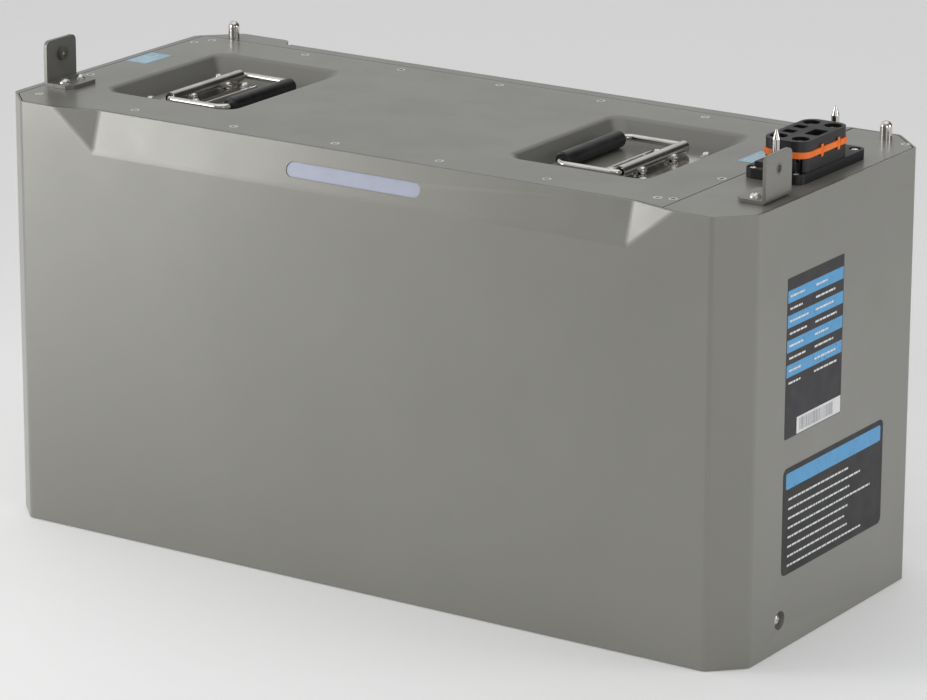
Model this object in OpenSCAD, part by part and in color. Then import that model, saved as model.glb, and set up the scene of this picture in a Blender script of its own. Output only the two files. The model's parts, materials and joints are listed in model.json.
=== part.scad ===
// Stackable battery box: sheet-metal case, two folding handles, top connector.
// Millimetres. Origin at the middle of the underside, +Z up, -Y is the front.

/* [Case] */
// Width of the case, left to right
case_w = 650; // [640:2:670]
// Depth of the case, front to back
case_d = 280; // [276:2:300]
// Height of the case to its top face
case_h = 330; // [320:2:360]
// Thickness of the case sheet
sheet = 2; // [1.5:0.1:2.2]
// Width of the bevel on the two front corners
front_bevel = 23.5; // [18:0.5:28]
// Width of the bevel on the two rear corners
rear_bevel = 28; // [20:0.5:32]
// Outer radius of the bends
bend_r = 7; // [3:0.5:9]
// Half width of the recessed rear panel
rear_half_w = 250; // [230:2:255]
// Depth of the rear panel behind the rear corners
rear_step = 11; // [8:1:14]

/* [Front recess] */
// Half width of the recess along its lower edge
recess_half_w = 233; // [200:1:240]
// Extra half width at the top, where the end facets run out
recess_flare = 37; // [20:1:45]
// How far the recess leans back at the top
recess_depth = 9.5; // [6:0.5:12]
// Height of the recess
recess_h = 30; // [26:1:36]
// Length of the light window
light_w = 117; // [80:1:160]
// Height of the light window
light_h = 11.5; // [8:0.5:14]

/* [Handles] */
// Half distance between the two barrel axes
barrel_offset = 200.5; // [199:0.5:202]
// Depth of the pressed dish
dish_depth = 14; // [14:0.5:18]
// Diameter of the bail wire
wire_d = 5; // [4:0.5:6]
// Diameter of the rubber grip
grip_d = 12.8; // [11:0.2:12.8]
// Length of the rubber grip
grip_len = 79; // [70:1:80]
// Distance from the hinge axis to the grip axis
bail_reach = 52; // [50:0.5:55]

/* [Brackets and pins] */
// Width of a bracket
bracket_w = 36; // [30:1:40]
// Height of a bracket
bracket_h = 35; // [30:1:45]
// Thickness of the bracket plate
bracket_t = 3; // [2:0.5:4]
// Diameter of the two bullet-nosed guide pins
guide_pin_d = 9; // [8:0.5:10]
// Height of the guide pins above the case
guide_pin_h = 14; // [12:1:15]
// Diameter of the two slim connector pins
slim_pin_d = 5.8; // [5:0.2:6]
// Height of the slim pins above the case
slim_pin_h = 39.5; // [36:0.5:42]

/* [Hidden] */
$fn = 48;
eps = 0.01;

paint = [0.52, 0.52, 0.49];
steel = [0.78, 0.78, 0.76];
black_plastic = [0.06, 0.06, 0.065];

// Case frame
half_w = case_w / 2;
half_d = case_d / 2;
cover_z = case_h - sheet;
gasket_t = 0.8;
ledge_z = cover_z - gasket_t;
panel_y = half_d - rear_step;
rear_frame_y = panel_y - sheet;
bend_steps = 5;
base_gap = 0.3;
rear_panel_half_w = rear_half_w - bend_r - base_gap;

// The cut for the recess runs on past the front face, to this many recess depths
recess_reach = 3;

// Covers: they lie inside a rim that the case walls make
seam = 0.8;
rim_t = 1.7;
cover_inset = rim_t + seam;
cover_left = -half_w + 6.5;
cover_right = half_w - 67;
cover_back = half_d - 23;
cover_mid = -half_w + 293.75;

// Cover screws: countersunk M4
screw_r = 1.9;
screw_head_r = 3.5;
screw_head_h = 2.0;
hole_r = 2.15;
tap_r = 1.95;
row_pitch = 91;
row_front_y = -half_d + 27;
row_back_y = cover_back - 10.5;
left_column_x = -half_w + 13.5;
right_column_x = cover_right - 5.5;
row_points = [
    for (y = [row_front_y, row_back_y])
        for (k = [-3 : 3]) [cover_mid + k * row_pitch, y]
];
column_points = [
    [left_column_x, 93], [left_column_x, -41],
    [right_column_x, row_front_y + 3], [right_column_x, -43],
    [right_column_x, 55], [right_column_x, 98]
];
corner_point = [[half_w - 12, half_d - 23]];
cover_points = concat(row_points, column_points);
base_points = concat(
    [for (x = [-280, -168, -56, 56, 168, 280]) for (y = [-1, 1]) [x, y * (panel_y - 12)]],
    [for (x = [-1, 1]) for (y = [-88, 95]) [x * (half_w - 11), y]]
);
rear_points = concat(
    [for (x = [-234, -117, 0, 117, 234]) for (z = [14, case_h - 17]) [x, z]],
    [for (x = [-234, 234]) for (z = [112, 214]) [x, z]]
);

// Earth screw in a shallow well on the right side
earth_place = [half_w - sheet, -74.5, 23];
earth_well = 2.6;

// Light behind the slope
lens_back = sheet + 0.2;
lens_rim_t = 1.6;
board_t = 1.6;

// Dishes and handles
dish_floor_z = case_h - dish_depth;
dish_rim = [119, 150];
dish_floor = [97, 128];
dish_shift = 18.5;
plate_t = 1.6;
axis_z = 6.7;
barrel_r = 4.7;
web_half = 3.2;
barrel_len = 90;
bore_clear = 0.05;
arm_y = 48.1;
stub_end = 34;
inner_bend = 5;
outer_bend = 8;
collar_h = 1;
outer_screw = [-19.5, 44];
inner_screw = [14.5, 32];

// Brackets
bracket_x = half_w - 9;
bracket_y = -half_d + 66;
foot_len = 25;
nut_z = 23;
nut_hole_r = 2.55;
nut_r = 5;
nut_out = 3.4;
pan_head_r = 4.4;
foot_screw_y = 9.5;
foot_screw_x = bracket_x - 13;
foot_points = [
    for (x = [-1, 1]) for (y = [-1, 1]) [x * foot_screw_x, bracket_y + y * foot_screw_y]
];

// Guide pins and their sockets
guide_x = half_w - 31;
guide_y = half_d - 17.5;
stud_r = 3;
socket_r = guide_pin_d / 2 + 0.15;
socket_depth = 18;

// Connector on the top
plug_x = half_w - 33.5;
plug_y = 7;
plug_size = [35, 68];
plug_r = 10;
flange_h = 7.5;
flange_seat = 5.2;
plug_h = 30;
flange_low = [half_w - 62.5, -31.5];
flange_high = [half_w - 15.5, 66];
slim_pin_y = 42.5;
power_points = [
    for (x = [-1, 1]) for (y = [-1, 1]) [plug_x + x * 8.8, plug_y + y * 23.5]
];
power_r = 6.4;
power_deep = 16;
post_r = 2.6;
post_drop = 1.6;
flange_screw_y = [-26.5, 59];
flange_screw_x = [half_w - 56.5, half_w - 22];
flange_points = [for (x = flange_screw_x) for (y = flange_screw_y) [x, y]];
neck_size = [30, 60];
well_low = [half_w - 68, -49.5];
well_high = [half_w - 10, 72];
well_h = 46;

// Printed labels
label_t = 0.15;

// Cells
cell = [66, 118, 190];
cell_gap = 1.5;
cell_pitch = cell[0] + cell_gap;
cell_count = 8;
pad_t = 3;
cells_x = -half_w + 24;
cells_y = -(half_d - panel_y) / 2;
cells_z = 2 * sheet + pad_t;
cells_top = cells_z + cell[2];
stack_len = cell_count * cell_pitch - cell_gap;
row_gap = 3;
block_half_d = cell[1] + row_gap / 2;
terminal_h = 2.5;
plate_thick = 2;
cover_plate_z = cells_top + 6;
end_t = 4;
tray_z = cells_top + 24;

// Leads
cable_r = 4.5;
cable_sides = 10;
path_steps = 5;
lead_r = 4;
lead_end = plug_x - 8.8 - lead_r;
base_contact_top = 50;
top_contact_low = case_h - 26;

function unit(v) = v / norm(v);
function wrap(a) = a > 180 ? a - 360 : (a < -180 ? a + 360 : a);

// Points of the arc that rounds corner b between a and c
function corner_arc(a, b, c, r) =
    let (
        u = unit(a - b),
        w = unit(c - b),
        half = acos(u * w) / 2,
        centre = b + unit(u + w) * (r / sin(half)),
        p = b + u * (r / tan(half)) - centre,
        q = b + w * (r / tan(half)) - centre,
        start = atan2(p[1], p[0]),
        turn = wrap(atan2(q[1], q[0]) - start)
    )
    [for (k = [0 : bend_steps]) centre + r * [
        cos(start + turn * k / bend_steps),
        sin(start + turn * k / bend_steps)
    ]];

// Closed path with every corner rounded
function rounded(path, r) = [
    for (i = [0 : len(path) - 1])
        each corner_arc(
            path[(i + len(path) - 1) % len(path)], path[i], path[(i + 1) % len(path)], r
        )
];

// Case outline, moved inwards by t
function case_path(t) =
    let (
        w = half_w - t,
        d = half_d - t,
        shrink = t * (2 - sqrt(2)),
        f = front_bevel - shrink,
        b = rear_bevel - shrink,
        n = rear_half_w + t,
        s = rear_frame_y - t
    )
    [
        [-w + f, -d], [w - f, -d], [w, -d + f], [w, d - b], [w - b, d],
        [n, d], [n, s], [-n, s], [-n, d],
        [-w + b, d], [-w, d - b], [-w, -d + f]
    ];

module case_outline(t, r) {
    polygon(rounded(case_path(t), r));
}

module slab(z0, z1) {
    translate([0, 0, z0])
        linear_extrude(height = z1 - z0)
            children();
}

module box(low, high) {
    translate(low)
        cube(high - low);
}

module area(low, high) {
    translate(low)
        square(high - low);
}

// Rectangle with round corners, made of squares and circles
module round_rect(size, r) {
    square([size[0] - 2 * r, size[1]], center = true);
    square([size[0], size[1] - 2 * r], center = true);
    for (x = [-1, 1])
        for (y = [-1, 1])
            translate([x * (size[0] / 2 - r), y * (size[1] / 2 - r)])
                circle(r);
}

// Solid that cuts the sloped recess into the front; grow moves its faces inwards
module recess_cut(grow) {
    top_z = case_h - 0.3 * grow;
    back_y = -half_d + recess_depth + grow;
    out_y = back_y - recess_depth * recess_reach;
    hull()
        for (s = [-1, 1]) {
            for (z = [top_z, case_h + 5]) {
                translate([s * (recess_half_w + grow), back_y, z])
                    cube(eps, center = true);
                translate([s * (recess_half_w + recess_flare * recess_reach + grow), out_y, z])
                    cube(eps, center = true);
            }
            translate([s * (recess_half_w + grow), out_y, top_z - recess_h * recess_reach])
                cube(eps, center = true);
        }
}

// Places children on the sloped face: x along it, z up it, y inwards
module on_slope() {
    translate([0, -half_d + recess_depth * 0.41, case_h - recess_h * 0.59])
        rotate([-atan(recess_depth / recess_h), 0, 0])
            children();
}

module slot_shape(len, high) {
    square([len - high, high], center = true);
    for (s = [-1, 1])
        translate([s * (len - high) / 2, 0])
            circle(high / 2);
}

module light_slot(len, high, y0, y1) {
    on_slope()
        translate([0, y1, 0])
            rotate([90, 0, 0])
                linear_extrude(height = y1 - y0)
                    slot_shape(len, high);
}

module main_cover_area(gap) {
    area([cover_left - gap, -half_d - 1], [cover_right + gap, cover_back + gap]);
}

module end_cover_area(gap) {
    area([cover_right - gap, -half_d - 1], [half_w + 1, half_d + 1]);
}

// Countersunk cross-head screw with its head flush at z = 0
module flush_screw(len) {
    difference() {
        union() {
            translate([0, 0, -screw_head_h])
                cylinder(r1 = screw_r, r2 = screw_head_r, h = screw_head_h);
            translate([0, 0, -len])
                cylinder(r = screw_r, h = len);
        }
        cross_slot(4.4, 1.2);
    }
}

module cross_slot(len, wide) {
    for (a = [0, 90])
        rotate([0, 0, a])
            translate([-len / 2, -wide / 2, -1.1])
                cube([len, wide, 2]);
}

module flush_hole(len) {
    translate([0, 0, -screw_head_h])
        cylinder(r1 = hole_r, r2 = screw_head_r + 0.25, h = screw_head_h + eps);
    translate([0, 0, -len])
        cylinder(r = hole_r, h = len);
}

// Domed cross-head screw, underside of its head at z = 0
module dome_screw(head_r, head_h, len) {
    ball_r = (head_r * head_r + head_h * head_h) / (2 * head_h);
    difference() {
        union() {
            intersection() {
                translate([0, 0, head_h - ball_r])
                    sphere(ball_r);
                cylinder(r = ball_r + 1, h = head_h + 1);
            }
            translate([0, 0, -len])
                cylinder(r = screw_r, h = len + 0.2);
        }
        translate([0, 0, head_h])
            cross_slot(head_r * 1.05, 0.9);
    }
}

module at_points(points, z) {
    for (p = points)
        translate([p[0], p[1], z])
            children();
}

module case_shell() {
    color(paint)
        difference() {
            slab(0, case_h)
                case_outline(0, bend_r);
            recess_cut(0);
            // room for the covers inside the rim
            difference() {
                slab(ledge_z, case_h + 1)
                    intersection() {
                        case_outline(rim_t, bend_r - rim_t);
                        union() {
                            main_cover_area(seam);
                            end_cover_area(seam);
                        }
                    }
                recess_cut(rim_t);
            }
            difference() {
                slab(2 * sheet, ledge_z - sheet)
                    case_outline(sheet, bend_r - sheet);
                recess_cut(sheet);
            }
            // room for the base plate under the bottom ledge
            slab(-1, sheet)
                case_outline(sheet, bend_r - sheet);
            slab(sheet - eps, 2 * sheet + 1) {
                area([-half_w + 22, -half_d + 22], [well_low[0] - 6, rear_frame_y - 24]);
                area([well_low[0] - 7, well_low[1] - 5], [half_w - 7, well_high[1] + 5]);
            }
            for (s = [-1, 1])
                translate([s * guide_x, guide_y, sheet - 1])
                    cylinder(r = 9.8, h = 4);
            // openings of the top ledge
            slab(ledge_z - 5, case_h + 1) {
                area([-half_w + 27, -half_d + 37], [cover_right - 15, cover_back - 20]);
                translate([plug_x, plug_y])
                    square(neck_size + [2, 2], center = true);
            }
            // service opening behind the rear panel
            box([-225, rear_frame_y - 20, 25], [225, rear_frame_y + 1, case_h - 28]);
            light_slot(light_w, light_h, -5, 8);
            at_points(cover_points, 0)
                translate([0, 0, ledge_z - 4])
                    cylinder(r = tap_r, h = 8);
            at_points(corner_point, 0)
                translate([0, 0, ledge_z - 4])
                    cylinder(r = tap_r, h = 8);
            at_points(base_points, sheet - 1)
                cylinder(r = tap_r, h = 5);
            for (p = rear_points)
                translate([p[0], rear_frame_y + 1, p[1]])
                    rotate([90, 0, 0])
                        cylinder(r = tap_r, h = 5);
            for (s = [-1, 1])
                translate([s * guide_x, guide_y, ledge_z - 6])
                    cylinder(r = stud_r + 0.1, h = 12);
            at_points(foot_points, ledge_z - 4)
                cylinder(r = tap_r, h = 12);
            at_points(flange_points, ledge_z - 4)
                cylinder(r = tap_r, h = 8);
            translate(earth_place - [1, 0, 0])
                rotate([0, 90, 0])
                    cylinder(r = 7, h = 10);
        }
}

module rear_panel() {
    color(paint)
        difference() {
            box(
                [-rear_panel_half_w, rear_frame_y, 0],
                [rear_panel_half_w, panel_y, case_h]
            );
            for (p = rear_points)
                translate([p[0], panel_y, p[1]])
                    rotate([-90, 0, 0])
                        flush_hole(4);
        }
}

module rear_panel_screws() {
    color(steel)
        for (p = rear_points)
            translate([p[0], panel_y, p[1]])
                rotate([-90, 0, 0])
                    flush_screw(7);
}

module base_plate() {
    color(paint)
        difference() {
            slab(0, sheet)
                case_outline(sheet + base_gap, bend_r - sheet);
            at_points(base_points, 0)
                mirror([0, 0, 1])
                    flush_hole(4);
            for (s = [-1, 1])
                translate([s * guide_x, guide_y, -1])
                    cylinder(r = 7, h = 5);
            box(
                [well_low[0] + 2, well_low[1] + 2, -1],
                [well_high[0] - 2, well_high[1] - 2, sheet + 1]
            );
        }
}

module base_screws() {
    color(steel)
        at_points(base_points, 0)
            mirror([0, 0, 1])
                flush_screw(2 * sheet);
}

// Pressed dish; the lower end is the floor
module dish_form(grow, z_top, z_floor) {
    hull() {
        slab(z_top - eps, z_top)
            round_rect(dish_rim + [2 * grow, 2 * grow], 12, $fn = 32);
        slab(z_floor, z_floor + eps)
            round_rect(dish_floor + [2 * grow, 2 * grow], 9, $fn = 32);
    }
}

module at_dishes() {
    for (s = [-1, 1])
        translate([cover_mid + s * (barrel_offset - dish_shift), 0, 0])
            children();
}

module top_cover() {
    color(paint)
        difference() {
            union() {
                slab(cover_z, case_h)
                    intersection() {
                        case_outline(cover_inset, bend_r - cover_inset);
                        main_cover_area(0);
                    }
                at_dishes()
                    dish_form(1.4, case_h - 1, dish_floor_z - sheet);
            }
            recess_cut(cover_inset);
            at_dishes()
                dish_form(0, case_h + eps, dish_floor_z);
            at_points(cover_points, case_h)
                flush_hole(4);
            at_points(foot_points, cover_z - 1)
                cylinder(r = hole_r, h = 5);
            for (s = [-1, 1])
                on_handle(s)
                    handle_screw_places()
                        translate([0, 0, -4])
                            cylinder(r = hole_r, h = 6);
        }
}

module end_cover() {
    color(paint)
        difference() {
            slab(cover_z, case_h)
                intersection() {
                    case_outline(cover_inset, bend_r - cover_inset);
                    translate([seam, 0])
                        end_cover_area(0);
                }
            recess_cut(cover_inset);
            at_points(corner_point, case_h)
                flush_hole(4);
            slab(cover_z - 1, case_h + 1)
                translate([plug_x, plug_y])
                    square(neck_size + [1, 1], center = true);
            at_points(flange_points, cover_z - 1)
                cylinder(r = hole_r, h = 5);
            at_points(foot_points, cover_z - 1)
                cylinder(r = hole_r, h = 5);
            translate([guide_x, guide_y, cover_z - 1])
                cylinder(r = stud_r + 0.1, h = 5);
        }
}

module cover_gasket() {
    color("dimgray")
        slab(ledge_z, cover_z)
            difference() {
                area([-half_w + 17, -half_d + 32.5], [cover_right - 10.5, cover_back - 15]);
                area([-half_w + 21, -half_d + 36], [cover_right - 14, cover_back - 19]);
                translate(foot_points[0])
                    circle(hole_r);
                translate(foot_points[1])
                    circle(hole_r);
            }
}

module cover_screws() {
    color(steel)
        at_points(concat(cover_points, corner_point), case_h)
            flush_screw(8);
}

module earth_boss() {
    color(paint)
        translate(earth_place)
            rotate([0, -90, 0])
                difference() {
                    cylinder(r = 9, h = 9);
                    translate([0, 0, -1])
                        cylinder(r = 7, h = 1 + earth_well);
                    cylinder(r = tap_r, h = 12);
                }
}

module earth_screw() {
    color(steel)
        translate(earth_place - [earth_well, 0, 0])
            rotate([0, 90, 0])
                dome_screw(5, 3.4, 6);
}

// Handle frame: barrel axis along y, x points to the middle of the cover
module on_handle(side) {
    translate([cover_mid + side * barrel_offset, 0, dish_floor_z])
        mirror([side > 0 ? 1 : 0, 0, 0])
            children();
}

module handle_screw_places() {
    for (s = [-1, 1]) {
        translate([outer_screw[0], s * outer_screw[1], 0])
            children();
        translate([inner_screw[0], s * inner_screw[1], 0])
            children();
    }
}

module along_y(r, len) {
    rotate([90, 0, 0])
        cylinder(r = r, h = len, center = true);
}

module handle_base() {
    color(steel)
        difference() {
            union() {
                slab(0, plate_t)
                    polygon([
                        [-25, -45], [-22, -49], [-12, -49], [2, -42], [22, -38],
                        [22, 38], [2, 42], [-12, 49], [-22, 49], [-25, 45]
                    ]);
                translate([0, 0, axis_z])
                    along_y(barrel_r, barrel_len);
                box([-web_half, 5 - barrel_len / 2, plate_t - eps], [web_half, barrel_len / 2 - 5, axis_z]);
                for (x = [-1, 1])
                    for (y = [-1, 1])
                        translate([x * 5.2, y * 22, 4])
                            sphere(3.1);
                box([20.4, -37, 0], [22, 37, 3.2]);
            }
            translate([0, 0, axis_z]) {
                along_y(wire_d / 2 + bore_clear, barrel_len + 2);
                for (s = [-1, 1])
                    translate([0, s * (barrel_len / 2), 0])
                        along_y(4.1, 9);
            }
            box([10.5, -20, -1], [16.5, 20, 3]);
            handle_screw_places()
                translate([0, 0, -1])
                    cylinder(r = hole_r, h = 6);
        }
}

module elbow(bend) {
    rotate_extrude(angle = 90)
        translate([bend, 0])
            circle(wire_d / 2);
}

module handle_bail() {
    wire_r = wire_d / 2;
    stub_len = arm_y - inner_bend - stub_end;
    color(steel)
        translate([0, 0, axis_z])
            for (s = [0, 1])
                mirror([0, s, 0]) {
                    translate([0, stub_end, 0])
                        rotate([-90, 0, 0])
                            cylinder(r = wire_r, h = stub_len);
                    translate([inner_bend, arm_y - inner_bend, 0])
                        rotate([0, 0, 90])
                            elbow(inner_bend);
                    translate([inner_bend, arm_y, 0])
                        rotate([0, 90, 0])
                            cylinder(r = wire_r, h = bail_reach - inner_bend - outer_bend);
                    translate([bail_reach - outer_bend, arm_y - outer_bend, 0])
                        elbow(outer_bend);
                    translate([bail_reach, 0, 0])
                        rotate([-90, 0, 0])
                            cylinder(r = wire_r, h = arm_y - outer_bend);
                }
}

module handle_grip() {
    grip_r = grip_d / 2;
    round_r = 1.6;
    color([0.04, 0.04, 0.045])
        translate([bail_reach, 0, axis_z])
            rotate([90, 0, 0])
                rotate_extrude()
                    difference() {
                        union() {
                            translate([0, -grip_len / 2 + round_r])
                                square([grip_r, grip_len - 2 * round_r]);
                            translate([0, -grip_len / 2])
                                square([grip_r - round_r, grip_len]);
                            for (s = [-1, 1])
                                translate([grip_r - round_r, s * (grip_len / 2 - round_r)])
                                    circle(round_r);
                        }
                        translate([-1, -grip_len / 2 - 1])
                            square([1 + wire_d / 2, grip_len + 2]);
                    }
}

module handle_screws() {
    color(steel)
        handle_screw_places()
            translate([0, 0, plate_t]) {
                translate([0, 0, collar_h - eps])
                    dome_screw(3.3, 3.6, 8);
                cylinder(r = 4.3, h = collar_h);
            }
}

// Bracket plate outline: y across, x up, round upper corners
module bracket_shape() {
    r = 5;
    translate([0, -bracket_w / 2])
        square([bracket_h - r, bracket_w]);
    translate([0, -bracket_w / 2 + r])
        square([bracket_h, bracket_w - 2 * r]);
    for (s = [-1, 1])
        translate([bracket_h - r, s * (bracket_w / 2 - r)])
            circle(r);
}

module on_bracket(side) {
    mirror([side < 0 ? 1 : 0, 0, 0])
        translate([bracket_x, bracket_y, case_h])
            children();
}

module bracket() {
    bend = 4;
    clip = 5;
    color(paint)
        difference() {
            union() {
                intersection() {
                    rotate([0, -90, 0])
                        linear_extrude(height = bracket_t)
                            bracket_shape();
                    box([-bracket_t, -bracket_w, bend], [0, bracket_w, bracket_h]);
                }
                slab(0, bracket_t)
                    polygon([
                        [-bend, -bracket_w / 2], [-bend, bracket_w / 2],
                        [-foot_len + clip, bracket_w / 2], [-foot_len, bracket_w / 2 - clip],
                        [-foot_len, -bracket_w / 2 + clip], [-foot_len + clip, -bracket_w / 2]
                    ]);
                translate([-bend, bracket_w / 2, bend])
                    rotate([90, 90, 0])
                        rotate_extrude(angle = 90)
                            translate([bend - bracket_t, 0])
                                square([bracket_t, bracket_w]);
            }
            translate([-bracket_t - 1, 0, nut_z])
                rotate([0, 90, 0])
                    cylinder(r = nut_r - 1, h = bracket_t + 2);
            for (s = [-1, 1])
                translate([-13, s * foot_screw_y, -1])
                    cylinder(r = hole_r, h = 6);
        }
}

module bracket_nut() {
    color(steel)
        difference() {
            union() {
                translate([-bracket_t, 0, nut_z])
                    rotate([0, 90, 0])
                        cylinder(r = nut_r - 1, h = bracket_t);
                translate([-bracket_t - nut_out, 0, nut_z])
                    rotate([0, 90, 0])
                        cylinder(r = nut_r, h = nut_out);
            }
            translate([-bracket_t - nut_out - 1, 0, nut_z])
                rotate([0, 90, 0])
                    cylinder(r = nut_hole_r, h = bracket_t + nut_out + 2);
        }
}

module bracket_screws() {
    color(steel)
        for (s = [-1, 1])
            translate([-13, s * foot_screw_y, bracket_t])
                dome_screw(pan_head_r, 3.4, 10);
}

module guide_pin(side) {
    pin_r = guide_pin_d / 2;
    color(steel)
        translate([side * guide_x, guide_y, case_h]) {
            cylinder(r = pin_r, h = guide_pin_h - pin_r);
            intersection() {
                translate([0, 0, guide_pin_h - pin_r])
                    sphere(pin_r);
                translate([0, 0, guide_pin_h - pin_r - eps])
                    cylinder(r = pin_r + 1, h = pin_r + 1);
            }
            translate([0, 0, -12])
                cylinder(r = stud_r, h = 12 + eps);
        }
}

module guide_pin_nuts() {
    color(steel)
        for (s = [-1, 1])
            translate([s * guide_x, guide_y, ledge_z - sheet - 5])
                difference() {
                    cylinder(r = 5.5, h = 5, $fn = 6);
                    translate([0, 0, -1])
                        cylinder(r = stud_r + 0.05, h = 7);
                }
}

module guide_socket(side) {
    color(steel)
        translate([side * guide_x, guide_y, 0])
            difference() {
                union() {
                    cylinder(r = 6.9, h = socket_depth + 2);
                    translate([0, 0, sheet])
                        cylinder(r = 9.5, h = 2);
                }
                translate([0, 0, -1])
                    cylinder(r = socket_r, h = socket_depth + 1);
                translate([0, 0, -eps])
                    cylinder(r1 = socket_r + 1, r2 = socket_r, h = 1);
            }
}

module connector_pin(side) {
    pin_r = slim_pin_d / 2;
    tip = 7;
    base = flange_h;
    color(steel)
        translate([plug_x, plug_y + side * slim_pin_y, case_h]) {
            translate([0, 0, base])
                cylinder(r = pin_r, h = slim_pin_h - tip - base);
            translate([0, 0, slim_pin_h - tip])
                cylinder(r1 = pin_r, r2 = 0.7, h = tip);
            translate([0, 0, 2])
                cylinder(r = 2, h = base - 2 + eps);
        }
}

module plug_outline(grow) {
    translate([plug_x, plug_y])
        round_rect(plug_size + [2 * grow, 2 * grow], plug_r + grow);
}

module flange_outline() {
    size = flange_high - flange_low;
    translate(flange_low + size / 2)
        round_rect(size, 7);
    translate([plug_x, plug_y - slim_pin_y])
        circle(8);
}

module signal_sockets() {
    for (y = [-7.8, 7.8])
        translate([plug_x - 8.9, plug_y + y])
            round_rect([9.6, 8.6], 1.5);
    translate([plug_x + 8.9, plug_y - 1])
        round_rect([11, 17], 1.5);
}

module connector_housing() {
    top_z = case_h + plug_h;
    seal_z = top_z - 12.2;
    color(black_plastic)
        difference() {
            union() {
                slab(case_h, case_h + flange_h)
                    flange_outline();
                slab(case_h, top_z)
                    plug_outline(0);
                slab(case_h - 22, case_h + eps)
                    translate([plug_x, plug_y])
                        round_rect(neck_size, 6);
                // raised rim beside the plug
                slab(case_h + flange_h - eps, case_h + flange_h + 2.6)
                    area(flange_low + [4, 10], [plug_x - 4, flange_high[1] - 13]);
            }
            slab(seal_z, seal_z + 4.6)
                difference() {
                    plug_outline(2);
                    plug_outline(-1);
                }
            at_points(power_points, top_z - power_deep)
                cylinder(r = power_r, h = power_deep + 1);
            at_points(power_points, case_h - 23)
                cylinder(r = post_r, h = 60);
            slab(top_z - 12, top_z + 1)
                signal_sockets();
            at_points(flange_points, case_h - 1)
                cylinder(r = hole_r, h = 10);
            at_points(flange_points, case_h + flange_seat)
                cylinder(r = 4.3, h = 12);
            for (s = [-1, 1])
                translate([plug_x, plug_y + s * slim_pin_y, case_h + 2])
                    cylinder(r = 2, h = 20);
        }
}

module connector_seal() {
    seal_z = case_h + plug_h - 12.2;
    color("darkorange") {
        slab(seal_z, seal_z + 4.6)
            difference() {
                plug_outline(1);
                plug_outline(-1);
            }
        for (s = [-1, 1])
            for (y = [-9, 15])
                translate([plug_x + s * (plug_size[0] / 2 + 0.6), plug_y + y, seal_z + 2.3])
                    cube([1.2, 3, 9], center = true);
    }
}

module power_contacts() {
    color(steel)
        at_points(power_points, case_h - 26)
            cylinder(r = post_r, h = 26 + plug_h - post_drop);
}

module signal_contacts() {
    floor_z = case_h + plug_h - 12;
    color([0.85, 0.7, 0.35]) {
        for (y = [-7.8, 7.8])
            for (k = [-1, 1])
                translate([plug_x - 8.9 + 2 * k, plug_y + y, floor_z])
                    cylinder(r = 0.8, h = 7);
        for (x = [-1, 1])
            for (k = [-2 : 2])
                translate([plug_x + 8.9 + 2 * x, plug_y - 1 + 3 * k, floor_z])
                    cylinder(r = 0.7, h = 7);
    }
}

module connector_screws() {
    color(steel)
        at_points(flange_points, case_h + flange_seat)
            dome_screw(3.8, 2.6, 11);
}

module base_connector() {
    middle = (well_low + well_high) / 2;
    outer = well_high - well_low;
    color(black_plastic)
        difference() {
            union() {
                slab(sheet, sheet + 2)
                    translate(middle)
                        round_rect(outer + [5, 8], 6);
                slab(0, well_h)
                    translate(middle)
                        round_rect(outer - [4.6, 4.6], 6);
            }
            slab(-1, 9)
                translate(middle)
                    round_rect(outer - [9, 9], 4);
            slab(8, 32)
                plug_outline(1);
            for (s = [-1, 1])
                translate([plug_x, plug_y + s * slim_pin_y, -1])
                    cylinder(r = slim_pin_d / 2 + 0.1, h = 42.5);
            at_points(power_points, 31)
                cylinder(r = 5.4, h = 20);
        }
}

module base_contacts() {
    color([0.85, 0.7, 0.35])
        at_points(power_points, 16)
            difference() {
                cylinder(r = 5.4, h = 34);
                translate([0, 0, -1])
                    cylinder(r = post_r + 0.3, h = 17);
            }
}

module light_window() {
    color([0.9, 0.9, 1.0]) {
        light_slot(light_w - 0.4, light_h - 0.4, 0.6, lens_back + eps);
        light_slot(light_w + 5, light_h + 5, lens_back, lens_back + lens_rim_t);
    }
}

module light_board() {
    color("darkgreen")
        on_slope() {
            translate([0, lens_back + lens_rim_t + 1.6, 0])
                cube([light_w + 2, board_t, light_h + 2], center = true);
            for (k = [-5 : 5])
                translate([k * 10, lens_back + lens_rim_t + 0.5, 0])
                    cube([4, 0.8, 4], center = true);
        }
}

// Label on the right side with its lower front corner at low
module side_sticker(low, high, lift, thick, r) {
    size = high - low;
    translate([half_w + lift, low[0] + size[0] / 2, low[1] + size[1] / 2])
        rotate([90, 0, 90])
            linear_extrude(height = thick)
                round_rect(size, r);
}

module rating_label() {
    color([0.12, 0.11, 0.14])
        side_sticker([-74, 157], [7, 275], 0, label_t, 1.2);
}

module barcode_label() {
    color("white")
        side_sticker([-57, 157.5], [6.5, 170], label_t, 0.1, 0.6);
}

module warning_label() {
    color([0.08, 0.08, 0.1])
        side_sticker([-74, 55], [73, 135], 0, label_t, 5);
}

module top_label_left() {
    color("lightblue")
        box([cover_left + 0.8, 11.5, case_h], [cover_left + 21, 45, case_h + label_t]);
}

module top_label_right() {
    color("lightblue")
        box([cover_right - 22, 6.5, case_h], [cover_right - 1.5, 40, case_h + label_t]);
}

module cell_row(side) {
    mid_y = cells_y + side * (cell[1] + row_gap) / 2;
    color([0.25, 0.45, 0.7])
        for (k = [0 : cell_count - 1])
            translate([cells_x + k * cell_pitch, mid_y - cell[1] / 2, cells_z]) {
                cube(cell);
                for (s = [-1, 1])
                    translate([cell[0] / 2, cell[1] / 2 + s * 42, cell[2] - eps])
                        cylinder(r = 7, h = terminal_h);
            }
}

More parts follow.
